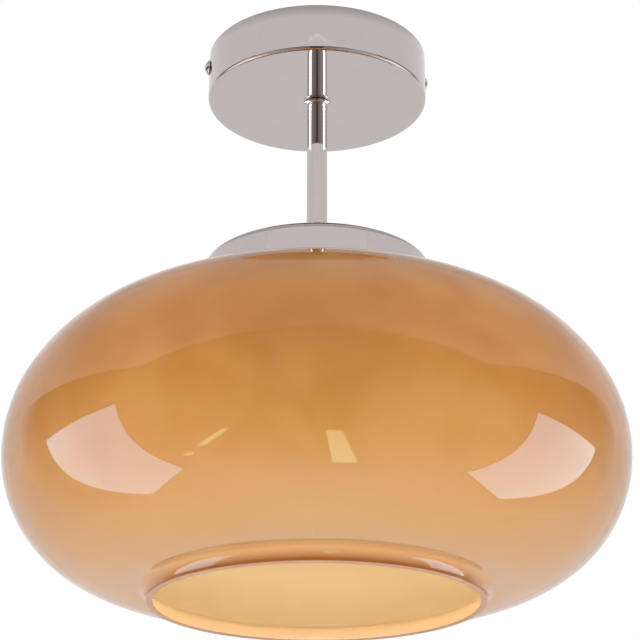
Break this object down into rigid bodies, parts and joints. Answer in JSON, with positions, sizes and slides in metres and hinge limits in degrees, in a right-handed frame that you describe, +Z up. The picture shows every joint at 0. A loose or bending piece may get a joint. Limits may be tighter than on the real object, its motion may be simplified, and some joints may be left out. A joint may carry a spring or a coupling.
{
  "type": "semi flush ceiling light",
  "caption": "Semi flush ceiling light: polished round canopy, short stem and cup holding a wide squat amber glass shade, open at the bottom, round one screw-in bulb.",
  "frame": {"origin": "on the ceiling plane, on the light's axis, midway between the two slots of the mounting bracket", "axes": "+Z up into the ceiling along the stem's axis; +X along the bracket from the left side screw to the right one; -Y faces the viewer"},
  "size_m": [0.3459, 0.346, 0.3344],
  "materials": {
    "polished_chrome": "mirror polished chrome plate",
    "zinc_steel": "zinc plated pressed steel",
    "amber_glass": "blown amber glass with a milky inner layer, gloss outside",
    "plain_brass": "turned or pressed brass",
    "nickel_shell": "nickel plated pressed shell",
    "black_phenolic": "moulded black phenolic",
    "white_ceramic": "unglazed white ceramic",
    "block_nylon": "moulded translucent white nylon",
    "clear_silicone": "soft milky silicone",
    "brown_insulation": "brown wire insulation",
    "blue_insulation": "blue wire insulation",
    "green_yellow_insulation": "green wire insulation with a yellow stripe",
    "lamp_white_plastic": "white moulded plastic",
    "lamp_opal": "opal diffuser plastic",
    "black_glass": "black lamp-cap insulator"
  },
  "bodies": {
    "fixture": {"mounting_bracket": "zinc_steel", "ceiling_canopy": "polished_chrome", "terminal_block": "block_nylon", "terminal_tubes": "plain_brass", "terminal_block_screws": "zinc_steel", "block_screw": "zinc_steel", "earth_tag": "plain_brass", "earth_screw": "zinc_steel", "earth_lead": "green_yellow_insulation", "live_lead": "brown_insulation", "neutral_lead": "blue_insulation", "threaded_tube": "zinc_steel", "canopy_lock_washer": "zinc_steel", "canopy_nut": "plain_brass", "stem_collar": "polished_chrome", "stem_sleeve": "polished_chrome", "shade_holder": "polished_chrome", "holder_lock_washer": "zinc_steel", "holder_nut": "plain_brass", "lampholder_cap": "black_phenolic", "lampholder_bush": "plain_brass", "lampholder_skirt": "black_phenolic", "lampholder_core": "white_ceramic", "screw_shell": "nickel_shell", "centre_contact": "plain_brass", "live_terminal": "plain_brass", "neutral_terminal": "plain_brass", "lampholder_terminal_screws": "zinc_steel", "upper_gasket": "clear_silicone", "glass_shade": "amber_glass", "lower_gasket": "clear_silicone"},
    "left_side_screw": {"side_screw_left": "polished_chrome"},
    "right_side_screw": {"side_screw_right": "polished_chrome"},
    "glass_clamp_ring": {"shade_ring": "black_phenolic"},
    "bulb": {"bulb_contact": "plain_brass", "bulb_insulator": "black_glass", "bulb_screw_cap": "nickel_shell", "bulb_housing": "lamp_white_plastic", "bulb_envelope": "lamp_opal"}
  },
  "joints": [
    {"name": "left_side_screw_turn", "type": "hinge", "parent": "fixture", "child": "left_side_screw", "pos_m": [-0.065, 0, -0.0102], "axis": [-1, 0, 0], "range_deg": [0, 1440]},
    {"name": "right_side_screw_turn", "type": "hinge", "parent": "fixture", "child": "right_side_screw", "pos_m": [0.065, 0, -0.0102], "axis": [1, 0, 0], "range_deg": [0, 1440]},
    {"name": "glass_clamp_ring_turn", "type": "hinge", "parent": "fixture", "child": "glass_clamp_ring", "pos_m": [0, 0, -0.17], "axis": [0, 0, -1], "range_deg": [0, 1800]},
    {"name": "bulb_turn", "type": "hinge", "parent": "fixture", "child": "bulb", "pos_m": [0, 0, -0.18], "axis": [0, 0, -1], "range_deg": [0, 1260]}
  ]
}
